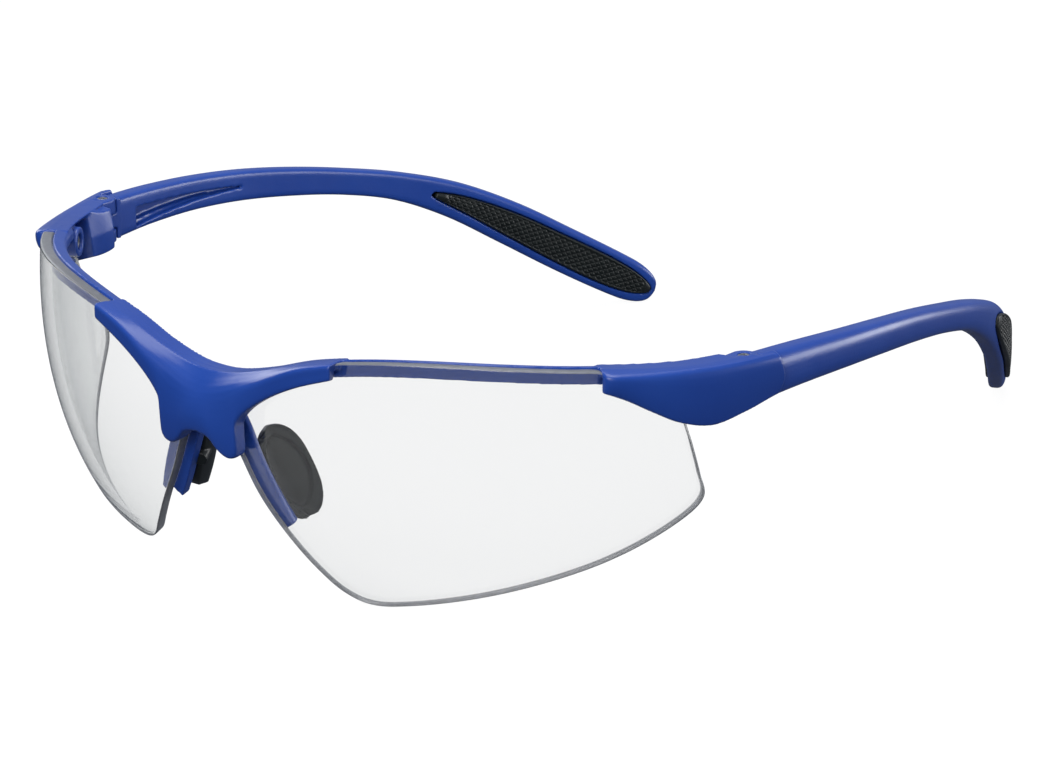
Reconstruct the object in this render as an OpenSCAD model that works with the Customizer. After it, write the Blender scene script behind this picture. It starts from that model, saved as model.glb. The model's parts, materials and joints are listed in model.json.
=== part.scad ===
// Half-rim sports safety glasses: a wraparound clear shield under a one-piece brow frame,
// two folding temples with rubber grip pads, and a nose bracket with two soft pads.
// Millimetres, +Z up. The front faces -Y, the temples run to +Y and +X is the wearer's left.
// The origin lies on the surface that the glasses stand on, below the centre of their box.

/* [Front] */
// Distance between the axes of the two hinge screws
hinge_span = 140; // [134:1:146]
// Height of the lens from the hinge tops down to its lower corners
lens_height = 42; // [39:1:45]
// Thickness of the lens
lens_t = 2; // [1.6:0.1:2.4]
// Height of the brow rail behind the lens
rail_h = 2.8; // [2.4:0.1:3.4]
// Depth of the brow rail, front to back
rail_d = 2.4; // [2:0.1:3]
// How far the bridge cover stands in front of the lens at the nose arch
cover_t = 3.2; // [2.6:0.1:3.6]

/* [Hinges] */
// Radius of the hinge screws
screw_r = 0.65; // [0.6:0.05:0.75]
// Outer radius of the hinge knuckles
knuckle_r = 1.8; // [1.6:0.1:1.8]

/* [Temples] */
// Length of a temple from its hinge screw back to its tip
temple_length = 122; // [116:1:128]
// Height of a temple just behind the hinge
temple_h = 8; // [7.4:0.1:8.4]
// Thickness of a temple just behind the hinge
temple_w = 4.4; // [4:0.1:4.6]

/* [Nose] */
// Length of a nose pad
nose_pad_l = 16; // [14:0.5:17]
// Width of a nose pad
nose_pad_w = 7.6; // [7:0.2:8]

/* [Hidden] */

// Colours
blue = [0.10, 0.20, 0.58];
clear = [0.85, 0.88, 0.90, 0.45];
black = [0.09, 0.10, 0.10];
steel = [0.62, 0.63, 0.65];

// Proportions: the outlines below are drawn at these sizes and stretched to the sizes above
half_span = hinge_span / 2;
wide = half_span / 70;
tall = lens_height / 42;
gap = 0.12;           // room between the lens and the frame
steps = 3;            // rings between two points of an outline

// ---- Curves -------------------------------------------------------------------------------

// A smooth curve through four neighbouring points, for t from 0 at b to 1 at c
function blend(a, b, c, d, t) =
    0.5 * (2 * b + (c - a) * t + (2 * a - 5 * b + 4 * c - d) * t * t + (3 * b - a - 3 * c + d) * t * t * t);

// A smooth curve through all the points, for s from 0 to 1
function along(points, s) =
    let (last = len(points) - 1, u = min(max(s, 0), 0.99999) * last, i = floor(u))
    blend(points[max(i - 1, 0)], points[i], points[i + 1], points[min(i + 2, last)], u - i);

function unit(v) = v / norm(v);
function reverse(list) = [for (i = [len(list) - 1 : -1 : 0]) list[i]];
function flip(p) = [-p[0], p[1], p[2]];

// A solid through closed rings of equal length. Each ring is one side followed by the other
// side in reverse, so a ring may be a bent strip: its end is closed by quads across the strip.
module loft(rings) {
    n = len(rings[0]);
    last = (len(rings) - 1) * n;
    strip = [for (j = [0 : n / 2 - 2]) [j, j + 1, n - 2 - j, n - 1 - j]];
    polyhedron(
        points = [for (ring = rings) each ring],
        faces = [
            for (q = strip) each [[q[2], q[1], q[0]], [q[3], q[2], q[0]]],
            for (q = strip)
                each [[last + q[0], last + q[1], last + q[2]], [last + q[0], last + q[2], last + q[3]]],
            for (i = [0 : len(rings) - 2]) for (j = [0 : n - 1])
                let (k = (j + 1) % n, a = i * n + j, b = i * n + k)
                each [[a, b + n, a + n], [a, b, b + n]]
        ]
    );
}

// ---- Lens surface ------------------------------------------------------------------------

// Depth of the lens front at a place on the front view: a squared ellipsoid that leans back
lens_a = half_span + 7 * wide;
lens_b = 75 * wide;
lens_c = 80;
function lens_y(x, z) =
    let (s = 1 - pow(abs(x) / lens_a, 2.8) - pow((z - 13.5) / lens_c, 2))
    27.5 * wide - lens_b * sqrt(max(s, 0)) + 0.3 * z;

// Outward direction of the lens front
function lens_out(x, z) =
    let (e = 0.05)
    let (slope_x = (lens_y(x + e, z) - lens_y(x - e, z)) / (2 * e))
    let (slope_z = (lens_y(x, z + e) - lens_y(x, z - e)) / (2 * e))
    unit([slope_x, -1, slope_z]);

// The point that stands d in front of the lens front (behind it where d is negative)
function skin(p, d) = [p[0], lens_y(p[0], p[1]), p[1]] + d * lens_out(p[0], p[1]);

rail_front = -(lens_t + gap);
rail_back = rail_front - rail_d;

// Brow line: the height of the frame's top edge, from the nose to the hinge
brow_points = [-5.3, -3.3, -0.5, 1.3, 2.1, 2.0, 1.2, -0.1];
function brow(x) = along(brow_points, abs(x) / (70 * wide));

// ---- Lens --------------------------------------------------------------------------------

// Right half of the lens outline: its top edge as [x, drop below the brow line], which dips under
// the bridge cover and the endpiece, and its lower edge as [x, z], from the nose notch outwards
lens_top_points = [
    [0, 2.9], [4, 2.6], [8, 2.2], [12, 1.9], [16, 1.6], [20, 1.4], [25, 1.4], [25.8, 0], [32, 0],
    [42, 0], [51, 0], [57, 0], [59.8, 0], [60.4, 1.4], [63.4, 1.9], [65, 4], [66, 6.4]
];
lens_low_points = [
    [0, -12.2], [3.4, -13.4], [6.3, -18.2], [9.4, -24.6], [13.2, -30.6], [17.6, -36.8], [21, -40.6],
    [25.2, -42.2], [32, -41.2], [43.6, -38.2], [53, -34.8], [59.2, -31.5], [64, -27.4], [66.7, -23.4],
    [67.4, -18.5], [67.6, -13], [67.4, -8.4]
];
function lens_top(s) = let (p = along(lens_top_points, s)) [p[0] * wide, brow(p[0] * wide) - p[1]];
function lens_low(s) = let (p = along(lens_low_points, s)) [p[0] * wide, p[1] * tall];

// Height of the lens's top edge where the frame hooks over it
lens_dip = 1.4;
function lens_top_at(x) =
    brow(x) - lens_dip - (x < 25 * wide ? 1.5 * pow(1 - x / 25 / wide, 2) : 0);

lens_rows = 6;
function lens_ring(s) =
    let (low = lens_low(s), top = lens_top(s))
    let (rows = [for (k = [0 : lens_rows]) low + (top - low) * k / lens_rows])
    concat([for (p = rows) skin(p, 0)], reverse([for (p = rows) skin(p, -lens_t)]));

// Rings for both halves of a symmetric piece, from its right end through the middle to its left
function both_halves(half) =
    concat([for (i = [len(half) - 1 : -1 : 1]) [for (p = half[i]) flip(p)]], half);

lens_last = (len(lens_low_points) - 1) * steps;
lens_rings = both_halves([for (i = [0 : lens_last]) lens_ring(i / lens_last)]);

// ---- Brow frame --------------------------------------------------------------------------

rail_end = 63 * wide;
function rail_ring(x) =
    let (top = brow(x), low = top - rail_h)
    [
        skin([x, low], rail_front), skin([x, top - 1], rail_front), skin([x, top], rail_front),
        skin([x, top - 0.5], rail_back + 0.3), skin([x, top - 1.2], rail_back),
        skin([x, low + 0.2], rail_back)
    ];
rail_rings = [for (i = [-44 : 44]) rail_ring(i / 44 * rail_end)];

// Bent strip that hooks over the lens top: an apron in front of the lens from low up to the top,
// and a web over the lens that slopes down to the rail. Each level is [x, z, how far it stands out].
function hook_ring(low, mid, ridge, top_x, over, drop) =
    let (top = brow(top_x), under = [top_x, over])
    [
        skin([low[0], low[1]], low[2]), skin([mid[0], mid[1]], mid[2]), skin([ridge[0], ridge[1]], ridge[2]),
        skin([top_x, top - drop], rail_front - 0.9 * rail_d),
        skin(under, rail_front - 1.2), skin(under, gap),
        skin([mid[0], min(mid[1], over - 0.3)], gap), skin([low[0], low[1]], gap)
    ];

// Bridge cover: two round lobes with an arch between them, narrowing into the brow
cover_end = 24.8 * wide;
cover_low_points = [
    [0, -14.8], [2.6, -15.4], [4.4, -17.2], [6.2, -18.1], [7.9, -17.3], [8.1, -14.6], [8.2, -12],
    [10.4, -9.4], [14.4, -6.7], [19.4, -4.3], [24.8, -2.3]
];
cover_top_x = [0, 1.6, 3.2, 4.8, 6.4, 8, 9.8, 12.2, 15.8, 20, 24.8];
function cover_ring(s) =
    let (
        p = along(cover_low_points, s), low = [p[0] * wide, p[1]], x = along(cover_top_x, s) * wide,
        f = 1 - x / cover_end, ridge_z = brow(x) - 0.5 - 2.8 * pow(max(f, 0), 1.5), mid_x = (low[0] + x) / 2,
        stand = 1.5 + (cover_t - 1.5) * pow(max(f, 0), 1.5)
    )
    hook_ring([low[0], low[1], stand], [mid_x, (low[1] + ridge_z) / 2, stand + 0.1],
        [x, ridge_z, 1.6 + 0.6 * f], x, lens_top_at(x) + gap, 0);
cover_last = (len(cover_low_points) - 1) * steps;
cover_rings = both_halves([for (i = [0 : cover_last]) cover_ring(i / cover_last)]);

// Endpiece: wraps the outer top corner of the lens and carries the hinge
end_start = 60.8 * wide;
end_stop = 73.4 * wide;
end_low_points = [-2.5, -4.1, -6.1, -8.6, -10, -9.1, -7.6];
function end_low(x) = along(end_low_points, (x - end_start) / (end_stop - end_start));
function end_out(x) = let (f = (x - end_start) / (end_stop - end_start)) (f < 0.02 ? 0.9 : 1.6) - 0.9 * f;
function end_ring(x) =
    let (low = end_low(x), out = end_out(x), top = brow(x))
    hook_ring([x, low, out * 0.8], [x, (low + top) / 2, out + 0.2], [x, top - 0.5, out], x, top - 1.28, 0.6);
end_rings = [for (i = [0 : 24]) end_ring(end_start + (end_stop - end_start) * i / 24)];

// Solid behind the endpiece's skin, between the lens edge and the hinge
function block_ring(x) =
    let (low = end_low(x) + 0.1, top = brow(x) - 0.3)
    [
        skin([x, low], gap + 0.3), skin([x, (low + top) / 2], gap + 0.3), skin([x, top], gap + 0.3),
        skin([x, top], -5.2), skin([x, (low + top) / 2], -5.4), skin([x, low], -5.2)
    ];
block_rings = [for (i = [0 : 8]) block_ring((69.8 + 3.4 * i / 8) * wide)];

// ---- Hinge levels --------------------------------------------------------------------------

hinge_top = -0.3;      // top of the upper knuckle
hinge_upper = -3.1;    // underside of the upper knuckle
hinge_lower = -6;      // top of the lower knuckle
hinge_base = -8.3;     // underside of the lower knuckle
hinge_room = 0.12;     // play above and below the temple's knuckle
skin_x = half_span + 2.05;   // inner face of the endpiece's outer skin beside the hinge
room_front = -2.3;     // front wall of the room that the temple folds into
seam_y = 5.4;          // rear end of the endpiece's outer skin
web_front = -4;        // front end of the webs that carry the knuckles
beyond = 20;           // length of cuts that run out of the part

module hinge_bore(r) {
    translate([half_span, 0, hinge_base - 1])
        cylinder(r = r, h = hinge_top - hinge_base + 2, $fn = 48);
}

module frame_knuckle(low, high) {
    translate([half_span, 0, low])
        cylinder(r = knuckle_r, h = high - low, $fn = 48);
    translate([half_span - knuckle_r, web_front, low])
        cube([skin_x + 0.2 - half_span + knuckle_r, -web_front, high - low]);
}

// Lens screw: goes in from behind through the endpiece and the lens into the outer skin
lens_screw_at = [64.6 * wide, -3.2];
lens_screw_r = 0.7;
lens_head_r = 1.35;
lens_boss_r = 2.4;
lens_boss_d = -4.6;
module along_lens_normal(p) {
    n = lens_out(p[0], p[1]);
    translate(skin(p, 0))
        rotate([0, acos(n[2]), atan2(n[1], n[0])])
            children();
}

module one_endpiece() {
    difference() {
        union() {
            difference() {
                union() {
                    loft(end_rings);
                    loft(block_rings);
                }
                translate([skin_x - beyond, room_front, -0.75 * beyond])
                    cube(beyond);
                translate([half_span - beyond, seam_y, -0.75 * beyond])
                    cube(2 * beyond);
            }
            frame_knuckle(hinge_upper, hinge_top);
            frame_knuckle(hinge_base, hinge_lower);
            along_lens_normal(lens_screw_at)
                translate([0, 0, lens_boss_d])
                    cylinder(r = lens_boss_r, h = rail_front - lens_boss_d, $fn = 48);
        }
        hinge_bore(screw_r + 0.02);
        along_lens_normal(lens_screw_at) {
            translate([0, 0, lens_boss_d - 1])
                cylinder(r = lens_screw_r + 0.03, h = 1 + 0.8 - lens_boss_d, $fn = 48);
            translate([0, 0, lens_boss_d - 1])
                cylinder(r = lens_head_r + 0.15, h = 1.9, $fn = 48);
        }
    }
}

module seated() {
    translate([0, -mid_y, rest_z])
        children();
}

module front_frame() {
    color(blue)
        seated() {
            loft(rail_rings);
            loft(cover_rings);
            one_endpiece();
            mirror([1, 0, 0])
                one_endpiece();
        }
}

module lens() {
    color(clear)
        seated()
            difference() {
                loft(lens_rings);
                for (side = [0, 1])
                    mirror([side, 0, 0])
                        along_lens_normal(lens_screw_at)
                            translate([0, 0, -lens_t - 1])
                                cylinder(r = lens_screw_r + 0.15, h = lens_t + 2, $fn = 48);
            }
}

// ---- Nose bracket and pads --------------------------------------------------------------------

bracket_back = rail_front - 2;
bracket_inner = [[0, -13.4], [2.6, -14.2], [4.3, -17.6], [6.5, -22.4], [9, -27.4], [11.5, -31.4]];
bracket_outer = [[0, -9.4], [4.8, -10], [7.6, -13.4], [9.6, -18.4], [12, -23.8], [14.4, -29.4]];
function bracket_ring(s) =
    let (a = along(bracket_inner, s), b = along(bracket_outer, s), m = (a + b) / 2)
    [
        skin(a, rail_front), skin(m, rail_front), skin(b, rail_front),
        skin(b, rail_front - 0.8), skin(a + 0.7 * (b - a), bracket_back), skin(a, bracket_back + 0.3)
    ];
bracket_rings = both_halves([for (i = [0 : 20]) bracket_ring(i / 20)]);

// Nose pad: a dished oval leaf. Its long axis runs down and outwards, its width runs back.
pad_at = [9.3, -37.9, -22.4];
pad_down = unit([0.36, 0.2, -0.9]);
pad_back = unit(cross(cross(pad_down, [0.5, 0.87, 0]), pad_down));
pad_nose = cross(pad_back, pad_down);
pad_thick = 1.8;
pad_bow = 1.1;       // how far the leaf arches across its width
pad_crown = 0.5;     // how far it arches along its length
function pad_point(u, w, h) = pad_at + u * pad_down + w * pad_back + h * pad_nose;
function pad_height(q, v) = pad_bow * (1 - q * q) + pad_crown * (1 - v * v);
function pad_ring(v) =
    let (half = nose_pad_w / 2 * pow(1 - pow(abs(v), 2.6), 0.5) + 0.15, u = v * nose_pad_l / 2)
    let (across = [-1 : 0.5 : 1])
    let (side = [for (q = across) pad_point(u, q * half, pad_height(q, v))])
    let (under = [for (q = across)
        pad_point(u, q * half, pad_height(q, v) - pad_thick * (1 - 0.3 * (1 - q * q)))])
    concat(under, reverse(side));
pad_rings = [for (i = [0 : 16]) pad_ring(-cos(i * 180 / 16) * 0.99)];

module pad_peg() {
    translate(pad_point(-1, -nose_pad_w * 0.32, 0.2))
        rotate([0, acos(pad_back[2]), atan2(pad_back[1], pad_back[0])])
            translate([0, 0, -3.4])
                cylinder(r = 0.7, h = 4.4, $fn = 32);
}

module nose_bracket() {
    color(blue)
        seated() {
            loft(bracket_rings);
            for (side = [0, 1])
                mirror([side, 0, 0])
                    pad_peg();
        }
}

module nose_pad() {
    color(black)
        seated()
            difference() {
                loft(pad_rings);
                pad_peg();
            }
}
module nose_pad_left() nose_pad();
module nose_pad_right() mirror([1, 0, 0]) nose_pad();

// ---- Temples ------------------------------------------------------------------------------------

// Middle line of the left temple from the hinge to the tip: bowed out, then down and inwards
temple_start = 2.5;
temple_line = [
    [70.8, temple_start, -4.4], [71.6, 12, -4.4], [72, 24, -4.9], [71.3, 36, -5.9], [69.5, 48, -7.5],
    [67.2, 60, -9.7], [64.3, 72, -12.7], [60.4, 84, -17.4], [55.6, 95, -23.6], [50, 105, -30.2],
    [44.7, 113.5, -35.8], [40, 120.8, -40.5]
];
function temple_axis(s) =
    let (p = along(temple_line, s))
    let (longer = (temple_length - temple_start) / (122 - temple_start))
    [p[0] * wide, temple_start + (p[1] - temple_start) * longer, p[2] * tall];
temple_half_h = [0.48, 0.43, 0.385, 0.355, 0.33, 0.31, 0.335, 0.44, 0.53, 0.55, 0.53, 0.46];
temple_half_w = [0.5, 0.5, 0.47, 0.44, 0.42, 0.42, 0.44, 0.46, 0.46, 0.44, 0.4, 0.34];
function tip_round(s) = s < 0.93 ? 1 : max(0.16, sqrt(1 - pow((s - 0.93) / 0.07, 2)));

// Pockets: the inner face has a tapered coring recess behind the hinge and the seat of the rubber
// grip, and the outer face has the seat of the grip's outer lobe near the tip
core_from = 0.05;
core_to = 0.29;
core_depth = 2;
grip_from = 0.595;
grip_to = 0.985;
grip_depth = 1.3;
lobe_from = 0.63;
lobe_to = 0.955;
lobe_depth = 0.8;
function share(s, from, to) = (s - from) / (to - from);
function bell(s, from, to) =
    s <= from || s >= to ? 0 : let (v = 2 * share(s, from, to) - 1) pow(1 - pow(abs(v), 3), 0.5);
function temple_h_at(s) = temple_h * along(temple_half_h, s) * tip_round(s);
function temple_w_at(s) = temple_w * along(temple_half_w, s) * tip_round(s);
function grip_half(s) =
    temple_h_at(s) * (0.46 + 0.28 * share(s, grip_from, grip_to)) * bell(s, grip_from, grip_to);
function lobe_half(s) = 0.8 * temple_h_at(s) * bell(s, lobe_from, lobe_to);

// Depth and half height of the pocket in each face
function inner_pocket(s) =
    s > core_from && s < core_to ?
        [core_depth, temple_h_at(s) * (0.55 - 0.4 * share(s, core_from, core_to))] :
    s > grip_from && s < grip_to ? [grip_depth * min(1, tip_round(s) * 1.2), grip_half(s) + 0.15] :
    [0, temple_h_at(s) * 0.4];
function outer_pocket(s) =
    s > lobe_from && s < lobe_to ? [lobe_depth * min(1, tip_round(s) * 1.2), lobe_half(s) + 0.12] :
    [0, temple_h_at(s) * 0.3];

// Direction across the temple, away from the head
function temple_side(s) =
    unit(cross(temple_axis(min(s + 0.004, 1)) - temple_axis(max(s - 0.004, 0)), [0, 0, 1]));

// A point beside the middle line: out sideways, up along the section
function temple_point(s, out, up) =
    let (t = unit(temple_axis(min(s + 0.004, 1)) - temple_axis(max(s - 0.004, 0))), side = temple_side(s))
    temple_axis(s) + out * side + up * cross(side, t);

function temple_ring(s) =
    let (
        h = temple_h_at(s), w = temple_w_at(s), p = inner_pocket(s), q = outer_pocket(s),
        p_floor = p[1] - min(0.25, p[1] / 2), q_floor = q[1] - min(0.25, q[1] / 2)
    )
    [
        temple_point(s, 0, -h), temple_point(s, 0.6 * w, -0.95 * h), temple_point(s, 0.93 * w, -0.7 * h),
        temple_point(s, w, -q[1]), temple_point(s, w - q[0], -q_floor),
        temple_point(s, w - q[0], q_floor), temple_point(s, w, q[1]),
        temple_point(s, 0.93 * w, 0.7 * h), temple_point(s, 0.6 * w, 0.95 * h), temple_point(s, 0, h),
        temple_point(s, -0.75 * w, 0.97 * h), temple_point(s, -w, 0.84 * h),
        temple_point(s, -w, p[1]), temple_point(s, p[0] - w, p_floor),
        temple_point(s, p[0] - w, -p_floor), temple_point(s, -w, -p[1]),
        temple_point(s, -w, -0.84 * h), temple_point(s, -0.75 * w, -0.97 * h)
    ];
temple_count = 72;
temple_rings = [for (i = [0 : temple_count]) temple_ring(i / temple_count)];

// Two round pegs that join the grip's two lobes through the temple
peg_places = [0.85, 0.91];
peg_r = 0.9;
module grip_pegs(r) {
    for (s = peg_places) {
        side = temple_side(s);
        translate(temple_axis(s))
            rotate([0, acos(side[2]), atan2(side[1], side[0])])
                translate([0, 0, grip_depth - 0.3 - temple_w_at(s)])
                    cylinder(r = r, h = 2 * temple_w_at(s) - grip_depth - lobe_depth + 0.6, $fn = 32);
    }
}

module temple() {
    high = hinge_upper - hinge_room;
    low = hinge_lower + hinge_room;
    color(blue)
        seated()
            difference() {
                union() {
                    loft(temple_rings);
                    translate([half_span, 0, low])
                        cylinder(r = knuckle_r, h = high - low, $fn = 48);
                    translate([half_span - 1.5, 0, low])
                        cube([3, 4, high - low]);
                }
                translate([skin_x - 0.05, 0, -0.75 * beyond])
                    cube([beyond, seam_y + 0.2, beyond]);
                hinge_bore(screw_r + 0.05);
                grip_pegs(peg_r + 0.04);
            }
}
module temple_left() temple();
module temple_right() mirror([1, 0, 0]) temple();

// Rubber grip on the temple's tip: a long lobe in the inner seat and a short one in the outer seat
grip_count = 30;
grip_crown = 0.5;     // how far the rubber stands out of its seat
function inner_lobe_ring(s) =
    let (w = temple_w_at(s), half = max(grip_half(s), 0.15), floor = inner_pocket(s)[0] - w - 0.05)
    concat(
        [for (q = [-1, -0.5, 0, 0.5, 1]) temple_point(s, floor, q * (half - 0.2))],
        [for (q = [1, 0.6, 0, -0.6, -1]) temple_point(s, -w - grip_crown * (1 - 0.5 * q * q), q * half)]
    );
function outer_lobe_ring(s) =
    let (w = temple_w_at(s), half = max(lobe_half(s), 0.15), floor = w - outer_pocket(s)[0] + 0.05)
    concat(
        [for (q = [1, 0.5, 0, -0.5, -1]) temple_point(s, floor, q * (half - 0.2))],
        [for (q = [-1, -0.6, 0, 0.6, 1]) temple_point(s, w + grip_crown * (1 - 0.5 * q * q), q * half)]
    );
function spread(from, to, count) = [for (i = [0 : count]) from + 0.006 + (to - from - 0.012) * i / count];
grip_rings = [for (s = spread(grip_from, grip_to, grip_count)) inner_lobe_ring(s)];
lobe_rings = [for (s = spread(lobe_from, lobe_to, grip_count / 2)) outer_lobe_ring(s)];

module temple_pad() {
    color(black)
        seated() {
            loft(grip_rings);
            loft(lobe_rings);
            grip_pegs(peg_r);
        }
}
module temple_pad_left() temple_pad();
module temple_pad_right() mirror([1, 0, 0]) temple_pad();

// ---- Screws ---------------------------------------------------------------------------------------

hinge_head_r = 1.3;
module hinge_screw() {
    color(steel)
        seated()
            translate([half_span, 0, hinge_base + 0.3]) {
                cylinder(r = screw_r, h = hinge_top - hinge_base - 0.3, $fn = 48);
                translate([0, 0, hinge_top - hinge_base - 0.3])
                    cylinder(r = hinge_head_r, h = 0.5, $fn = 48);
            }
}
module hinge_screw_left() hinge_screw();
module hinge_screw_right() mirror([1, 0, 0]) hinge_screw();

module lens_screw() {
    color(steel)
        seated()
            along_lens_normal(lens_screw_at) {
                translate([0, 0, lens_boss_d + 0.9])
                    cylinder(r = lens_screw_r, h = 0.7 - lens_boss_d - 0.9, $fn = 48);
                translate([0, 0, lens_boss_d + 0.1])
                    cylinder(r = lens_head_r, h = 0.8, $fn = 48);
            }
}
module lens_screw_left() lens_screw();
module lens_screw_right() mirror([1, 0, 0]) lens_screw();

// ---- Place on the surface ---------------------------------------------------------------------------

all_y = [for (rings = [lens_rings, cover_rings, temple_rings]) for (ring = rings) for (p = ring) p[1]];
all_z = [for (rings = [lens_rings, temple_rings, grip_rings]) for (ring = rings) for (p = ring) p[2]];
mid_y = (min(all_y) + max(all_y)) / 2;
rest_z = -min(all_z);

front_frame();
lens();
nose_bracket();
nose_pad_left();
nose_pad_right();
temple_left();
temple_right();
temple_pad_left();
temple_pad_right();
hinge_screw_left();
hinge_screw_right();
lens_screw_left();
lens_screw_right();
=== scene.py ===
"""Looks of half-rim sports safety glasses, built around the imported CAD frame.

Shapes are drawn in millimetres in a design frame: its origin lies midway between the tops of the two
hinges, the front faces -Y, the temples run to +Y and +Z is up. finish_piece() moves them to the
frame's own place and to metres.
"""
import json
import math

import bmesh
import bpy
import numpy as np
from mathutils import Euler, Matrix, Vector


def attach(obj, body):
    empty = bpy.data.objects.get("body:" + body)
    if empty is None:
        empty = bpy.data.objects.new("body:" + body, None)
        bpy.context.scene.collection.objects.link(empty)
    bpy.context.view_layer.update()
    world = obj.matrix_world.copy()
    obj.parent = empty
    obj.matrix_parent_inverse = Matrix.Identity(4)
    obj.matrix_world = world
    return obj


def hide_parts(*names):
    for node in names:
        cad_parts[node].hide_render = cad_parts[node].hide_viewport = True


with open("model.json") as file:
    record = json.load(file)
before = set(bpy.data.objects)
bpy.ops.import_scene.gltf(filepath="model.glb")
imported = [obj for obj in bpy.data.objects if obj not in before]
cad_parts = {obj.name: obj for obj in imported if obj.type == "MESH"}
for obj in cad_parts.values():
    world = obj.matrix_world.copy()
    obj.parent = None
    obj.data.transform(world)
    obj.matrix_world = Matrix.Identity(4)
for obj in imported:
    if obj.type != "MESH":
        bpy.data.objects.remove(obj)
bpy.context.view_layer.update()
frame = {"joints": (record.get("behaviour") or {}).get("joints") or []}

# ---- Driving sizes, from the frame ---------------------------------------------------------------

MM = 0.001
JOINTS = {joint["name"]: joint for joint in frame["joints"]}
HINGE = np.array(JOINTS["left_temple_fold"]["pos_m"]) / MM
HALF_SPAN = HINGE[0]
HINGE_DROP = 4.5                 # the joint's point lies this far below the design frame's zero
ORIGIN = np.array([0, HINGE[1], HINGE[2] + HINGE_DROP])
WIDE = HALF_SPAN / 70
TALL = ORIGIN[2] / 42.2
LENS_T = 2.0
GAP = 0.12
RAIL_H = 2.8
RAIL_D = 2.4
COVER_T = 3.2
RAIL_FRONT = -(LENS_T + GAP)
RAIL_BACK = RAIL_FRONT - RAIL_D


# ---- Curves and surfaces -------------------------------------------------------------------------

def along(points, s):
    """A smooth curve through all the points, for s from 0 to 1 (a number or an array)."""
    points = np.array(points, float)
    last = len(points) - 1
    u = np.clip(np.asarray(s, float), 0, 0.99999) * last
    i = np.floor(u).astype(int)
    t = u - i
    if points.ndim > 1:
        t = t[..., None]
    a = points[np.maximum(i - 1, 0)]
    b = points[i]
    c = points[i + 1]
    d = points[np.minimum(i + 2, last)]
    return 0.5 * (2 * b + (c - a) * t + (2 * a - 5 * b + 4 * c - d) * t**2 + (3 * b - a - 3 * c + d) * t**3)


def smooth_step(x, low, high):
    """0 below low, 1 above high and a smooth rise between them."""
    t = np.clip((x - low) / (high - low), 0, 1)
    return t * t * (3 - 2 * t)


def unit(v):
    """The vectors v at length 1."""
    v = np.asarray(v, float)
    return v / np.linalg.norm(v, axis=-1, keepdims=True)


def lens_y(x, z):
    """Depth of the lens front: a squared ellipsoid that leans back."""
    s = 1 - np.abs(x / (HALF_SPAN + 7 * WIDE)) ** 2.8 - ((z - 13.5) / 80) ** 2
    return 27.5 * WIDE - 75 * WIDE * np.sqrt(np.maximum(s, 0)) + 0.3 * z


def skin(x, z, d):
    """Points that stand d in front of the lens front, or behind it where d is negative."""
    x, z, d = np.broadcast_arrays(*(np.asarray(value, float) for value in (x, z, d)))
    e = 0.05
    slope_x = (lens_y(x + e, z) - lens_y(x - e, z)) / (2 * e)
    slope_z = (lens_y(x, z + e) - lens_y(x, z - e)) / (2 * e)
    out = unit(np.stack([slope_x, -np.ones_like(x), slope_z], axis=-1))
    return np.stack([x, lens_y(x, z), z], axis=-1) + d[..., None] * out


def lens_out(x, z):
    """Outward direction of the lens front."""
    return unit(skin(x, z, 1) - skin(x, z, 0))


BROW = [-5.3, -3.3, -0.5, 1.3, 2.1, 2.0, 1.2, -0.1]
NOSE_ROUND = 3.0      # radius that rounds the brow off over the nose
NOSE_REACH = 20       # distance from the middle where the rounding has died out


def from_nose(x):
    """Distance from the middle plane, rounded off so that nothing is creased over the nose."""
    x = np.abs(x)
    return np.sqrt(x**2 + NOSE_ROUND**2) - NOSE_ROUND * (1 - smooth_step(x, 0, NOSE_REACH))


def brow(x):
    """Height of the frame's top edge, from the nose to the hinge."""
    return along(BROW, from_nose(x) / (70 * WIDE))


# ---- Mesh tools ----------------------------------------------------------------------------------

def new_object(name, verts, faces):
    """A mesh object of the design frame, in millimetres."""
    mesh = bpy.data.meshes.new(name)
    mesh.from_pydata([tuple(v) for v in verts], [], faces)
    work = bmesh.new()
    work.from_mesh(mesh)
    bmesh.ops.recalc_face_normals(work, faces=work.faces)
    work.to_mesh(mesh)
    work.free()
    piece = bpy.data.objects.new(name, mesh)
    bpy.context.scene.collection.objects.link(piece)
    return piece


def loft(name, rings):
    """A closed solid through closed rings. Each ring is one side and then the other in reverse, so
    that its ends are closed by quads across the strip, however the ring is bent."""
    rings = np.asarray(rings, float)
    count, n = rings.shape[:2]
    faces = []
    for i in range(count - 1):
        for j in range(n):
            k = (j + 1) % n
            faces.append((i * n + j, i * n + k, (i + 1) * n + k, (i + 1) * n + j))
    for start in (0, (count - 1) * n):
        for j in range(n // 2 - 1):
            faces.append((start + j, start + j + 1, start + n - 2 - j, start + n - 1 - j))
    return new_object(name, rings.reshape(-1, 3), faces)


def box_piece(name, low, high):
    """A plain box between two corners, used for cutting and joining."""
    corners = [(x, y, z) for x in (low[0], high[0]) for y in (low[1], high[1]) for z in (low[2], high[2])]
    faces = [(0, 1, 3, 2), (4, 6, 7, 5), (0, 4, 5, 1), (2, 3, 7, 6), (0, 2, 6, 4), (1, 5, 7, 3)]
    return new_object(name, corners, faces)


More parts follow.
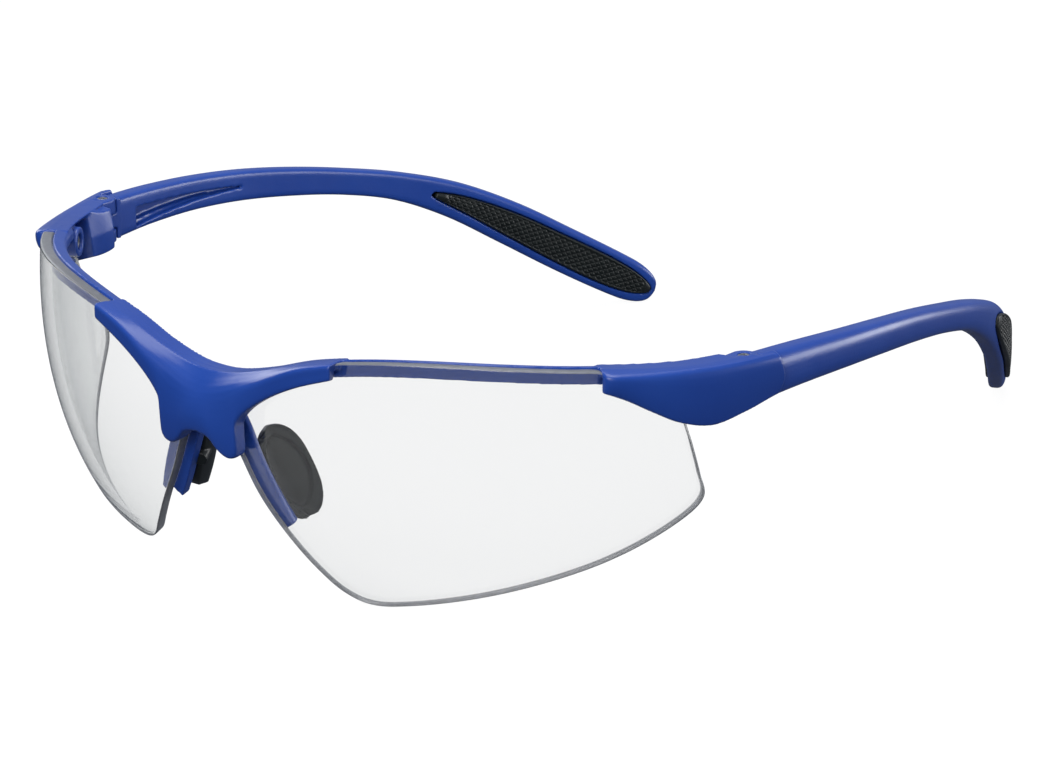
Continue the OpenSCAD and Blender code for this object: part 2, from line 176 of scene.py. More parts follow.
def lathe(name, profile, centre=(0, 0, 0), axis=(0, 0, 1), sides=48):
    """A turned solid: profile lists (radius, height) from the bottom centre to the top centre."""
    axis = unit(axis)
    across = unit(np.cross(axis, (0, 1, 0) if abs(axis[1]) < 0.9 else (1, 0, 0)))
    third = np.cross(axis, across)
    verts = []
    for radius, height in profile:
        for k in range(sides):
            a = 2 * math.pi * k / sides
            spot = np.array(centre) + height * axis
            verts.append(spot + radius * (math.cos(a) * across + math.sin(a) * third))
    faces = []
    for i in range(len(profile) - 1):
        for k in range(sides):
            m = (k + 1) % sides
            faces.append((i * sides + k, i * sides + m, (i + 1) * sides + m, (i + 1) * sides + k))
    faces.append(tuple(range(sides)))
    faces.append(tuple((len(profile) - 1) * sides + k for k in range(sides)))
    return new_object(name, verts, faces)


def cylinder(name, r, low, high, centre=(0, 0, 0), axis=(0, 0, 1), sides=48):
    """A plain round bar from low to high along the axis."""
    return lathe(name, [(r, low), (r, high)], centre, axis, sides)


def apply_modifiers(piece):
    """Replaces the piece's mesh by what its modifiers make of it."""
    graph = bpy.context.evaluated_depsgraph_get()
    mesh = bpy.data.meshes.new_from_object(piece.evaluated_get(graph))
    piece.modifiers.clear()
    piece.data = mesh
    return piece


def remove(piece):
    """Deletes a helper object."""
    bpy.data.objects.remove(piece)


def combine(piece, others, operation):
    """Joins the others to the piece (UNION), cuts them out of it (DIFFERENCE) or keeps only what it
    shares with them (INTERSECT)."""
    for other in others:
        modifier = piece.modifiers.new("combine", "BOOLEAN")
        modifier.object = other
        modifier.operation = operation
        modifier.solver = "MANIFOLD"
        apply_modifiers(piece)
        remove(other)
    return piece


def merge(name, parts):
    """Puts several solids into one object, still overlapping."""
    work = bmesh.new()
    for part in parts:
        work.from_mesh(part.data)
    mesh = bpy.data.meshes.new(name)
    work.to_mesh(mesh)
    work.free()
    for part in parts:
        remove(part)
    piece = bpy.data.objects.new(name, mesh)
    bpy.context.scene.collection.objects.link(piece)
    return piece


def mould(piece, voxel, rounds):
    """Turns overlapping solids into one smooth moulded surface with softened edges."""
    remesh = piece.modifiers.new("one surface", "REMESH")
    remesh.mode = "VOXEL"
    remesh.voxel_size = voxel
    soften = piece.modifiers.new("soften", "SMOOTH")
    soften.factor = 0.5
    soften.iterations = rounds
    return apply_modifiers(piece)


def flipped(piece, name):
    """A mirror image of the piece, left to right."""
    mesh = piece.data.copy()
    work = bmesh.new()
    work.from_mesh(mesh)
    for vert in work.verts:
        vert.co.x = -vert.co.x
    bmesh.ops.reverse_faces(work, faces=work.faces)
    work.to_mesh(mesh)
    work.free()
    other = bpy.data.objects.new(name, mesh)
    bpy.context.scene.collection.objects.link(other)
    return other


def finish_piece(piece, material, slot, body, *nodes):
    """Places a piece in the row frame, gives it its material, ties it to its body and hides the CAD nodes
    it stands in for. The slot is not used.
    """
    mesh = piece.data
    co = np.zeros(len(mesh.vertices) * 3)
    mesh.vertices.foreach_get("co", co)
    co = (co.reshape(-1, 3) + ORIGIN) * MM
    mesh.vertices.foreach_set("co", co.ravel())
    mesh.update()
    for polygon in mesh.polygons:
        polygon.use_smooth = True
    mesh.materials.clear()
    mesh.materials.append(material)
    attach(piece, body)
    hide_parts(*nodes)
    return piece


# ---- Materials -----------------------------------------------------------------------------------

def new_material(name):
    """An empty node material with its shader and output joined."""
    material = bpy.data.materials.new(name)
    material.use_nodes = True
    tree = material.node_tree
    tree.nodes.clear()
    shader = tree.nodes.new("ShaderNodeBsdfPrincipled")
    output = tree.nodes.new("ShaderNodeOutputMaterial")
    tree.links.new(shader.outputs["BSDF"], output.inputs["Surface"])
    return material, tree, shader


def noise(tree, scale, detail=3.0, roughness=0.5):
    """A noise pattern in the object's own metres."""
    place = tree.nodes.new("ShaderNodeTexCoord")
    node = tree.nodes.new("ShaderNodeTexNoise")
    node.inputs["Scale"].default_value = scale
    node.inputs["Detail"].default_value = detail
    node.inputs["Roughness"].default_value = roughness
    tree.links.new(place.outputs["Object"], node.inputs["Vector"])
    return node.outputs["Fac"]


def colours(tree, factor, *stops):
    """A colour ramp: stops are (position, colour)."""
    ramp = tree.nodes.new("ShaderNodeValToRGB")
    while len(ramp.color_ramp.elements) < len(stops):
        ramp.color_ramp.elements.new(0.5)
    for element, (position, colour) in zip(ramp.color_ramp.elements, stops):
        element.position = position
        element.color = (*colour, 1)
    tree.links.new(factor, ramp.inputs["Fac"])
    return ramp.outputs["Color"]


def spread(tree, factor, low, high):
    """Maps a 0 to 1 factor to the range low to high."""
    node = tree.nodes.new("ShaderNodeMapRange")
    node.clamp = False
    node.inputs["To Min"].default_value = low
    node.inputs["To Max"].default_value = high
    tree.links.new(factor, node.inputs["Value"])
    return node.outputs["Result"]


def arithmetic(tree, operation, a, b):
    """One step of arithmetic on two values. b may be a plain number."""
    node = tree.nodes.new("ShaderNodeMath")
    node.operation = operation
    tree.links.new(a, node.inputs[0])
    if isinstance(b, float):
        node.inputs[1].default_value = b
    else:
        tree.links.new(b, node.inputs[1])
    return node.outputs["Value"]


def blend(tree, factor, a, b):
    """The colour a where the factor is 0 and b where it is 1. b may be a plain colour."""
    node = tree.nodes.new("ShaderNodeMix")
    node.data_type = "RGBA"
    tree.links.new(factor, node.inputs["Factor"])
    tree.links.new(a, node.inputs["A"])
    if isinstance(b, tuple):
        node.inputs["B"].default_value = (*b, 1)
    else:
        tree.links.new(b, node.inputs["B"])
    return node.outputs["Result"]


def bump(tree, shader, height, distance, strength=1.0):
    """Fine relief of the given height in metres."""
    node = tree.nodes.new("ShaderNodeBump")
    node.inputs["Distance"].default_value = distance
    node.inputs["Strength"].default_value = strength
    tree.links.new(height, node.inputs["Height"])
    tree.links.new(node.outputs["Normal"], shader.inputs["Normal"])


def blue_plastic():
    """Satin moulded nylon: deep blue with faint flow clouds and a fine mould grain."""
    material, tree, shader = new_material("blue_plastic")
    clouds = noise(tree, 55, 2.0)
    colour = colours(tree, clouds, (0.3, (0.010, 0.050, 0.30)), (0.7, (0.014, 0.062, 0.34)))
    tree.links.new(colour, shader.inputs["Base Color"])
    tree.links.new(spread(tree, noise(tree, 260, 4.0), 0.27, 0.40), shader.inputs["Roughness"])
    shader.inputs["IOR"].default_value = 1.46
    shader.inputs["Coat Weight"].default_value = 0.12
    shader.inputs["Coat Roughness"].default_value = 0.2
    bump(tree, shader, noise(tree, 2600, 2.0), 0.00002, 0.5)
    return material


def black_rubber():
    """Soft grey-black rubber with a matt, slightly dusty surface."""
    material, tree, shader = new_material("black_rubber")
    dust = noise(tree, 400, 5.0, 0.6)
    colour = colours(tree, dust, (0.35, (0.004, 0.0065, 0.0065)), (0.75, (0.009, 0.013, 0.0125)))
    tree.links.new(colour, shader.inputs["Base Color"])
    tree.links.new(spread(tree, noise(tree, 300, 4.0), 0.30, 0.56), shader.inputs["Roughness"])
    shader.inputs["Specular IOR Level"].default_value = 0.45
    bump(tree, shader, noise(tree, 3500, 3.0), 0.00004, 0.6)
    return material


def clear_lens():
    """Clear polycarbonate: glossy faces with a trace of grey, deepened by painted shade where the sight
    grazes them, and a satin edge as it comes from the mould."""
    material, tree, shader = new_material("clear_lens")
    graze = tree.nodes.new("ShaderNodeLayerWeight")
    graze.inputs["Blend"].default_value = 0.35
    # Painted shade: the base colour turns a darker grey the more the lens face turns away from the sight
    painted_grazing_shade = colours(tree, graze.outputs["Facing"], (0.25, (0.88, 0.885, 0.885)), (1.0, (0.52, 0.56, 0.56)))
    edge = tree.nodes.new("ShaderNodeAttribute")
    edge.attribute_name = "satin_edge"
    frost = colours(tree, noise(tree, 800, 3.0), (0.3, (0.20, 0.21, 0.23)), (0.7, (0.26, 0.27, 0.29)))
    tree.links.new(blend(tree, edge.outputs["Fac"], painted_grazing_shade, frost), shader.inputs["Base Color"])
    tree.links.new(spread(tree, edge.outputs["Fac"], 0.0, 0.38), shader.inputs["Roughness"])
    tree.links.new(spread(tree, edge.outputs["Fac"], 1.0, 0.4), shader.inputs["Transmission Weight"])
    shader.inputs["IOR"].default_value = 1.5
    path = tree.nodes.new("ShaderNodeLightPath")
    clear = tree.nodes.new("ShaderNodeBsdfTransparent")
    clear.inputs["Color"].default_value = (0.48, 0.48, 0.48, 1)
    shade = tree.nodes.new("ShaderNodeMixShader")
    tree.links.new(path.outputs["Is Shadow Ray"], shade.inputs["Fac"])
    tree.links.new(shader.outputs["BSDF"], shade.inputs[1])
    tree.links.new(clear.outputs["BSDF"], shade.inputs[2])
    tree.links.new(shade.outputs["Shader"], tree.nodes["Material Output"].inputs["Surface"])
    return material


def screw_steel():
    """Turned steel with fine rings of tool marks."""
    material, tree, shader = new_material("screw_steel")
    marks = noise(tree, 5000, 2.0)
    colour = colours(tree, marks, (0.3, (0.28, 0.29, 0.31)), (0.7, (0.40, 0.41, 0.43)))
    tree.links.new(colour, shader.inputs["Base Color"])
    shader.inputs["Metallic"].default_value = 1.0
    tree.links.new(spread(tree, marks, 0.22, 0.42), shader.inputs["Roughness"])
    bump(tree, shader, marks, 0.00002, 0.4)
    return material


# ---- Lens ----------------------------------------------------------------------------------------

LENS_TOP = [
    [0, 2.9], [4, 2.6], [8, 2.2], [12, 1.9], [16, 1.65], [20, 1.4], [23.4, 1.2], [25.1, 0.4], [28, 0.35],
    [32, 0.35], [42, 0.35], [51, 0.35], [57, 0.35], [60.2, 0.4], [61.2, 1.4], [63.4, 1.9], [65, 4],
    [66.4, 6.4],
]
LENS_LOW = [
    [0, -12.2], [3.4, -13.4], [6.3, -18.2], [9.4, -24.6], [13.2, -30.6], [17.6, -36.8], [21, -40.6],
    [25.2, -42.2], [32, -41.2], [43.6, -38.2], [53, -34.8], [59.2, -31.5], [64, -27.4], [66.7, -23.4],
    [67.4, -18.5], [67.6, -13], [67.4, -8.4],
]


def both_halves(s_count):
    """Signed positions for a symmetric piece: the half curve's s and the side, from right to left."""
    half = np.linspace(0, 1, s_count)
    s = np.concatenate([half[:0:-1], half])
    side = np.concatenate([-np.ones(s_count - 1), np.ones(s_count)])
    return s, side


def lens_piece():
    """The shield: two polished faces and an edge with rounded corners."""
    s, side = both_halves(220)
    low = along(LENS_LOW, s) * [WIDE, TALL]
    top = along(LENS_TOP, s)
    top = np.stack([top[:, 0] * WIDE, brow(top[:, 0] * WIDE) - top[:, 1]], axis=1)
    span = np.linalg.norm(top - low, axis=1)
    rows = 44
    squeeze = np.minimum(1, span / 12)
    edge_r = 0.35
    corner = [(edge_r * (1 - math.sin(a)), edge_r * (1 - math.cos(a))) for a in (0, 0.52, 1.05, 1.57)]
    columns = [(0, inset, depth) for inset, depth in corner[::-1]]
    columns += [(0, inset, 0) for inset in (0.45, 0.7)]
    columns += [(k / rows, 0, 0) for k in range(3, rows - 2)]
    columns += [(1, -inset, 0) for inset in (0.7, 0.45)]
    columns += [(1, -inset, depth) for inset, depth in corner]
    columns += [(share, inset, LENS_T - depth) for share, inset, depth in columns[::-1]]
    rings = []
    for share, inset, depth in columns:
        f = (share + inset * squeeze / span)[:, None]
        spot = low + (top - low) * f
        rings.append(skin(side * spot[:, 0], spot[:, 1], -depth))
    piece = loft("lens_shield", np.stack(rings, axis=1))
    on_edge = [1.0 if share in (0, 1) and 0 < depth < LENS_T else 0.0 for share, inset, depth in columns]
    satin = piece.data.attributes.new("satin_edge", "FLOAT", "POINT")
    satin.data.foreach_set("value", np.tile(on_edge, len(side)))
    return piece


# ---- Front frame ---------------------------------------------------------------------------------

RAIL_END = 63 * WIDE
COVER_END = 25.1 * WIDE
COVER_LOW = [
    [0, -14.8], [2.6, -15.4], [4.4, -17.2], [6.2, -18.1], [7.9, -17.3], [8.1, -14.6], [8.2, -12],
    [10.4, -9.4], [14.4, -6.7], [19.4, -4.3], [25.1, -2.3],
]
COVER_TOP_X = [0, 1.6, 3.2, 4.8, 6.4, 8, 9.8, 12.2, 15.8, 20, 25.1]
END_START = 60.5 * WIDE
END_STOP = 73.4 * WIDE
BLOCK_START = 68.2 * WIDE
END_LOW = [-2.5, -3.9, -6.2, -8.7, -10, -8.8, -6.9]


def rail():
    """The brow rail behind the lens's top edge."""
    x = np.linspace(-RAIL_END, RAIL_END, 321)
    top = brow(x)
    low = top - RAIL_H
    columns = [
        (low, RAIL_FRONT), (top - 1, RAIL_FRONT), (top, RAIL_FRONT),
        (top - 0.4, RAIL_BACK + 0.4), (top - 1.2, RAIL_BACK), (low + 0.2, RAIL_BACK),
    ]
    return loft("rail", np.stack([skin(x, z, d) for z, d in columns], axis=1))


def hook(name, x, side, front, top, over):
    """A strip that hooks over the lens. front is a list of (x, z, stand) levels, upwards from its lower
    edge, top the web's back edge and over the height of the lens's edge below it."""
    samples = np.linspace(0, 1, 17)
    levels = np.stack([np.stack(np.broadcast_arrays(*level), axis=-1) for level in front], axis=0)
    curve = [along(levels, s) for s in samples]
    columns = [skin(side * p[:, 0], p[:, 1], p[:, 2]) for p in curve]
    columns.append(skin(side * x, top, RAIL_FRONT - 0.9 * RAIL_D))
    low_x, low_z = front[0][0], front[0][1]
    mid_x, mid_z = front[2][0], front[2][1]
    mid_z = np.minimum(mid_z, over - 0.3)
    columns += [
        skin(side * x, over, RAIL_FRONT - 1.2), skin(side * x, over, GAP),
        skin(side * mid_x, mid_z, GAP), skin(side * low_x, low_z, GAP),
    ]
    return loft(name, np.stack(columns, axis=1))


def cover():
    """Bridge cover: two round lobes with an arch between them, narrowing into the brow."""
    s, side = both_halves(170)
    low = along(COVER_LOW, s) * [WIDE, 1]
    x = along(COVER_TOP_X, s) * WIDE
    f = np.maximum(1 - from_nose(x) / COVER_END, 0)
    stand = 1.5 + (COVER_T - 1.5) * f**1.5
    top = brow(x)
    ridge = top - 0.5 - 2.8 * f**1.5
    mid_x = (low[:, 0] + x) / 2
    mid_z = (low[:, 1] + ridge) / 2
    lower = low * 0.85 + 0.15 * np.stack([mid_x, mid_z], axis=1)
    front = [
        (low[:, 0], low[:, 1], stand * 0.72), (lower[:, 0], lower[:, 1], stand),
        (mid_x, mid_z, stand + 0.15), (x, ridge, 1.6 + 0.6 * f), (x, top - 0.12, -0.5 + 0 * x),
    ]
    over = top - (1.4 + 1.5 * np.maximum(1 - x / (25 * WIDE), 0) ** 2) + GAP
    return hook("cover", x, side, front, top, over)


def endpiece_skin():
    """Outer skin of the endpiece, with a rounded front edge on the lens."""
    x = np.linspace(END_START, END_STOP, 90)
    f = (x - END_START) / (END_STOP - END_START)
    low = along(END_LOW, f)
    top = brow(x)
    nose = np.sqrt(1 - np.clip(1 - f / 0.1, 0, 1) ** 2) * 0.75 + 0.25
    out = (1.5 - 0.8 * f) * nose
    mid = (low + top) / 2
    front = [
        (x, low, out * 0.6), (x, low + 0.6, out * 0.9), (x, mid, out + 0.25 * nose), (x, top - 0.7, out),
        (x, top - 0.05, -0.9 + 0 * x),
    ]
    return hook("endpiece_skin", x, 1, front, top - 0.15, top - 1.28)


def endpiece_block():
    """Solid behind the endpiece's skin, between the lens edge and the hinge."""
    x = np.linspace(BLOCK_START, 73.2 * WIDE, 40)
    low = along(END_LOW, (x - END_START) / (END_STOP - END_START)) + 0.1
    top = brow(x) - 0.15
    mid = (low + top) / 2
    deep = smooth_step(x, BLOCK_START, 70.5 * WIDE)
    back = -4.2 - 1.8 * deep
    columns = [
        (low, GAP + 0.3), (mid, GAP + 0.3), (top, GAP + 0.3),
        (top - 0.8 * deep, back + 0.3), (mid, back - 0.2), (low + 1.0, back),
    ]
    return loft("endpiece_block", np.stack([skin(x, z, d) for z, d in columns], axis=1))


HINGE_TOP = -0.3
HINGE_UPPER = -3.1
HINGE_LOWER = -6.0
HINGE_BASE = -8.3
HINGE_ROOM = 0.12
ARM_R = 2.3           # the frame's two knuckles
TONGUE_R = 1.85       # the temple's knuckle between them
SCREW_R = 0.65
HEAD_R = 1.05         # hinge screw's head, sunk into the upper knuckle
HEAD_H = 0.48
SKIN_X = HALF_SPAN + 2.05
SEAM_R = 8.5          # the endpiece ends in a round rim of this radius, seen from the side
SEAM_Y = 5.4
SEAM_Z = -4.2
SCREW_AT = (64.6 * WIDE, -3.2)


def seam_roll(radius, x_low, x_high):
    """A thick disc across the seam, whose rim is the endpiece's rounded end."""
    centre = (0, SEAM_Y - SEAM_R, SEAM_Z)
    return cylinder("roll", radius, x_low, x_high, centre, (1, 0, 0), 128)


def knuckle(low, high):
    """One of the frame's two hinge knuckles, with the web that carries it."""
    round_part = cylinder("knuckle", ARM_R, low, high, (HALF_SPAN, 0, 0))
    outside = box_piece("outside", (SKIN_X - 0.05, -9, -20), (SKIN_X + 9, 9, 20))
    web = box_piece("web", (HALF_SPAN - ARM_R, -4.5, low), (HALF_SPAN + 0.5, 0, high))
    bridge = box_piece("bridge", (HALF_SPAN, -1, low), (SKIN_X + 0.1, 0, high))
    return [combine(round_part, [outside], "DIFFERENCE"), web, bridge]


def lens_boss():
    """Round boss behind the lens that takes the lens screw, open at the back."""
    spot = skin(*SCREW_AT, 0)
    axis = lens_out(*SCREW_AT)
    boss = cylinder("boss", 2.6, -4.9, RAIL_FRONT, spot, axis)
    return combine(boss, [cylinder("seat", 1.5, -5.6, -3.7, spot, axis)], "DIFFERENCE")


def one_endpiece():
    """The left endpiece with its hinge knuckles and lens boss."""
    blank = combine(endpiece_skin(), [endpiece_block()], "UNION")
    inner_room = box_piece("inner_room", (HALF_SPAN - 12, -2.4, -15), (HALF_SPAN, 25, 5))
    outer_room = box_piece("outer_room", (HALF_SPAN - 1, 0.8, -15), (SKIN_X, 25, 5))
    round_room = cylinder("round_room", TONGUE_R + 0.1, HINGE_LOWER, HINGE_UPPER, (HALF_SPAN, 0, 0))
    behind = box_piece("behind", (HALF_SPAN - 12, -0.5, -20), (HALF_SPAN + 18, 30, 20))
    combine(behind, [seam_roll(SEAM_R, 0, 200)], "DIFFERENCE")
    combine(blank, [inner_room, outer_room, round_room, behind], "DIFFERENCE")
    parts = [blank, lens_boss()]
    for low, high in ((HINGE_UPPER, HINGE_TOP), (HINGE_BASE, HINGE_LOWER)):
        parts += knuckle(low, high)
    return merge("endpiece", parts)


def front_frame():
    """Brow frame: rail, bridge cover and both endpieces as one moulding."""
    left = one_endpiece()
    right = flipped(left, "endpiece_right")
    piece = mould(merge("brow_frame", [rail(), cover(), left, right]), 0.17, 12)
    low = HINGE_TOP - HEAD_H - 0.02
    sinks = [cylinder("sink", HEAD_R + 0.07, low, 2, (side * HALF_SPAN, 0, 0)) for side in (-1, 1)]
    return combine(piece, sinks, "DIFFERENCE")


# ---- Nose bracket and pads -----------------------------------------------------------------------

BRACKET_BACK = RAIL_FRONT - 2
BRACKET_INNER = [[0, -13.4], [2.6, -14.2], [4.3, -17.6], [6.5, -22.4], [9, -27.4], [11.5, -31.4]]
BRACKET_OUTER = [[0, -9.4], [4.8, -10], [7.6, -13.4], [9.6, -18.4], [12, -23.8], [14.4, -29.4]]
PAD_AT = np.array([9.3, -37.9, -22.4])
PAD_DOWN = unit([0.36, 0.2, -0.9])
PAD_BACK = unit(np.cross(np.cross(PAD_DOWN, [0.5, 0.87, 0]), PAD_DOWN))
PAD_NOSE = np.cross(PAD_BACK, PAD_DOWN)
PAD_L = 16.0
PAD_W = 7.6


def pad_point(u, w, h):
    """A point of the pad: u down its length, w back across it and h towards the nose."""
    u, w, h = np.broadcast_arrays(u, w, h)
    return PAD_AT + u[..., None] * PAD_DOWN + w[..., None] * PAD_BACK + h[..., None] * PAD_NOSE


def pad_bar(name, radius, low):
    """A round bar between a pad and the bracket's arm: the peg inside or the pad's collar round it."""
    spot = pad_point(np.array(-1.0), np.array(-PAD_W * 0.32), np.array(0.2))
    return cylinder(name, radius, low, 0.2, spot, PAD_BACK)


def nose_bracket():
    """Saddle behind the lens with an arm down each side of the nose notch."""
    s, side = both_halves(90)
    a = along(BRACKET_INNER, s)
    b = along(BRACKET_OUTER, s)
    m = (a + b) / 2
    c = a + 0.7 * (b - a)
    levels = [
        (a, RAIL_FRONT), (m, RAIL_FRONT), (b, RAIL_FRONT),
        (b, RAIL_FRONT - 0.8), (c, BRACKET_BACK), (a, BRACKET_BACK + 0.3),
    ]
    saddle = loft("saddle", np.stack([skin(side * p[:, 0], p[:, 1], d) for p, d in levels], axis=1))
    peg = pad_bar("peg", 0.6, -2.3)
    other = flipped(peg, "peg_right")
    return mould(merge("nose_saddle", [saddle, peg, other]), 0.16, 4)


def nose_pad():
    """Dished oval leaf with a raised rim on the outer side and a base rail along the arm."""
    v = -np.cos(np.linspace(0.06, math.pi - 0.06, 70))
    half = PAD_W / 2 * np.sqrt(1 - np.abs(v) ** 2.6) + 0.15
    crown = 0.5 * (1 - v**2)
    across = np.linspace(-1, 1, 33)
    under = []
    over = []
    for q in across:
        bow = 1.1 * (1 - q * q)
        dish = 0.8 * (1 - smooth_step(q**2 + v**2, 0.54, 0.64))
        thick = 1.6 * (1 - 0.15 * (1 - q * q)) - dish
        over.append(pad_point(v * PAD_L / 2, q * half, bow + crown))
        under.append(pad_point(v * PAD_L / 2, q * half, bow + crown - thick))
    leaf = loft("leaf", np.stack(under + over[::-1], axis=1))
    u = np.linspace(-0.42, 0.47, 40) * PAD_L
    front = -PAD_W / 2 * np.sqrt(1 - np.abs(2 * u / PAD_L) ** 2.6)
    rail_section = [(-0.25, -1.7), (1.15, -1.7), (1.15, 0.2), (-0.25, 0.2)]
    base = loft("base", np.stack([pad_point(u, front + w, h) for w, h in rail_section], axis=1))
    return mould(merge("nose_pad", [leaf, base, pad_bar("collar", 1.2, -2.5)]), 0.14, 4)


# ---- Temples -------------------------------------------------------------------------------------

TEMPLE_LENGTH = 122.0
TEMPLE_H = 8.0
TEMPLE_W = 4.4
TEMPLE_START = 2.5
TEMPLE_LINE = [
    [70.8, TEMPLE_START, -4.4], [71.6, 12, -4.4], [72, 24, -4.9], [71.3, 36, -5.9], [69.5, 48, -7.5],
    [67.2, 60, -9.7], [64.3, 72, -12.7], [60.4, 84, -17.4], [55.6, 95, -23.6], [50, 105, -30.2],
    [44.7, 113.5, -35.8], [40, 120.8, -40.5],
]
TEMPLE_HALF_H = [0.48, 0.43, 0.385, 0.355, 0.33, 0.31, 0.335, 0.44, 0.53, 0.55, 0.53, 0.46]
TEMPLE_HALF_W = [0.5, 0.5, 0.47, 0.44, 0.42, 0.42, 0.44, 0.46, 0.46, 0.44, 0.4, 0.34]
CORE = (0.052, 0.27)
CORE_DEPTH = 2.0
GRIP = (0.595, 0.985)
GRIP_DEPTH = 1.3
LOBE = (0.63, 0.955)
LOBE_DEPTH = 0.8


def temple_axis(s):
    """Middle line of the left temple from the hinge to the tip: bowed out, then down and inwards."""
    return along(TEMPLE_LINE, s) * [WIDE, 1, TALL]


def tip_round(s):
    """Narrows the temple to a round tip."""
    return np.where(s < 0.93, 1, np.maximum(0.05, np.sqrt(np.maximum(1 - ((s - 0.93) / 0.07) ** 2, 0))))


def temple_half_height(s):
    """Half the temple's height."""
    return TEMPLE_H * along(TEMPLE_HALF_H, s) * tip_round(s)


def temple_half_width(s):
    """Half the temple's thickness."""
    return TEMPLE_W * along(TEMPLE_HALF_W, s) * np.maximum(tip_round(s), 0.35)


def temple_point(s, out, up):
    """A point beside the middle line: out sideways, up along the section."""
    s, out, up = np.broadcast_arrays(np.asarray(s, float), out, up)
    e = 0.004
    t = unit(temple_axis(np.minimum(s + e, 1)) - temple_axis(np.maximum(s - e, 0)))
    side = unit(np.cross(t, [0, 0, 1]))
    return temple_axis(s) + out[..., None] * side + up[..., None] * np.cross(side, t)


def bell(s, span):
    """The outline of a long rounded pocket: 0 at both ends of the span and 1 over its middle."""
    v = np.clip(2 * (s - span[0]) / (span[1] - span[0]) - 1, -1, 1)
    return np.sqrt(1 - np.abs(v) ** 3)


def grip_half(s):
    """Half height of the rubber grip's long inner lobe."""
    share = np.clip((s - GRIP[0]) / (GRIP[1] - GRIP[0]), 0, 1)
    return temple_half_height(s) * (0.46 + 0.28 * share) * bell(s, GRIP)


def lobe_half(s):
    """Half height of the grip's short outer lobe."""
    return 0.8 * temple_half_height(s) * bell(s, LOBE)


def core_share(s):
    """How far along the cored recess s is: 0 at its hinge end and 1 at its point."""
    return (s - CORE[0]) / (CORE[1] - CORE[0])


def core_mid(s):
    """Height of the recess's middle: low at the hinge and level with the arm's at its point."""
    return temple_half_height(s) * 0.26 * (core_share(s) - 1)


def core_half(s):
    """Half the recess's height."""
    return temple_half_height(s) * (0.5 - 0.44 * core_share(s))


def core_floor(s):
    """Depth of the recess."""
    return CORE_DEPTH * (1 - 0.6 * core_share(s) ** 3)


def sunk(name, s, mid, half, out_low, out_high):
    """A cutter along the temple for a pocket, between two distances out from the middle line."""
    columns = []
    for q in np.linspace(-1, 1, 9):
        columns.append(temple_point(s, out_low, mid + q * half))
    for q in np.linspace(1, -1, 9):
        columns.append(temple_point(s, out_high, mid + q * half))
    return loft(name, np.stack(columns, axis=1))


def temple_blank():
    """The arm without pockets: full and round outside, flat inside with rounded corners."""
    tip = 0.9 + 0.1 * np.sin(np.linspace(0.02, 1, 60) * math.pi / 2)
    s = np.concatenate([np.linspace(0, 0.9, 240), tip])
    h = temple_half_height(s)
    w = temple_half_width(s)
    columns = []
    for a in np.linspace(-math.pi / 2, math.pi / 2, 17):
        out = max(math.cos(a), 0) ** (2 / 2.7)
        up = math.copysign(abs(math.sin(a)) ** (2 / 2.7), a)
        columns.append(temple_point(s, out * w, up * h))
    corner = [(-0.6, 0.985), (-0.85, 0.93), (-0.97, 0.8), (-1, 0.6), (-1, 0.2)]
    for out, up in corner + [(out, -up) for out, up in corner[::-1]]:
        columns.append(temple_point(s, out * w, up * h))
    # One more column on the round side, because loft needs an even number
    columns.insert(9, (columns[8] + columns[9]) / 2)
    return loft("temple_blank", np.stack(columns, axis=1))


def temple_pockets():
    """Cutters for the cored recess and for the grip's two seats."""
    s = np.linspace(CORE[0], CORE[1], 60)
    w = temple_half_width(s)
    core = sunk("core", s, core_mid(s), core_half(s), -w - 1, core_floor(s) - w)
    s = np.linspace(GRIP[0], GRIP[1], 160)
    w = temple_half_width(s)
    seat = sunk("seat", s, 0, grip_half(s) + 0.18, -w - 2, GRIP_DEPTH - w)
    s = np.linspace(LOBE[0], LOBE[1], 90)
    w = temple_half_width(s)
    outer_seat = sunk("outer_seat", s, 0, lobe_half(s) + 0.15, w - LOBE_DEPTH, w + 2)
    return [core, seat, outer_seat]


def seam_notch():
    """Cutter that clears the arm's outer side for the endpiece's rounded end."""
    outside = box_piece("outside", (SKIN_X - 0.05, -6, -18), (SKIN_X + 20, 16, 12))
    return combine(outside, [seam_roll(SEAM_R + 0.2, 0, 200)], "INTERSECT")


def core_rib():
    """Low ridge along the lower side of the recess's floor."""
    s = np.linspace(CORE[0] + 0.002, CORE[1] - 0.06, 40)
    w = temple_half_width(s)
    mid = core_mid(s) - 0.66 * core_half(s)
    columns = []
    for sink, up in ((1.1, -0.35), (0.6, -0.3), (0.6, 0.2), (1.1, 0.25)):
        columns.append(temple_point(s, sink * core_floor(s) - w, mid + up * (1 - 0.7 * core_share(s))))
    return loft("rib", np.stack(columns, axis=1))


def temple():
    """The left arm with its hinge knuckle, the cored recess behind it and the grip's two seats."""
    blank = combine(temple_blank(), temple_pockets() + [seam_notch()], "DIFFERENCE")
    low = HINGE_LOWER + HINGE_ROOM
    high = HINGE_UPPER - HINGE_ROOM
    pin = cylinder("pin", TONGUE_R, low, high, (HALF_SPAN, 0, 0))
    head = box_piece("head", (HALF_SPAN - 1.4, 0, -8), (SKIN_X - 0.1, TEMPLE_START + 0.5, -0.75))
    arm_rooms = [
        cylinder("arm_room", ARM_R + 0.15, -12, low, (HALF_SPAN, 0, 0)),
        cylinder("arm_room", ARM_R + 0.15, high, 2, (HALF_SPAN, 0, 0)),
    ]
    combine(head, arm_rooms, "DIFFERENCE")
    return mould(merge("temple_arm", [blank, core_rib(), pin, head]), 0.2, 5)


def diamonds(u, v, pitch_u, pitch_v, groove):
    """Height of a diamond grid over a flat sheet: 1 on the diamonds and 0 in the grooves."""
    height = np.ones_like(u)
    for sign in (1, -1):
        phase = (u / pitch_u + sign * v / pitch_v) % 1
        away = np.minimum(phase, 1 - phase)
        height = height * smooth_step(away, groove / 2, groove)
    return height


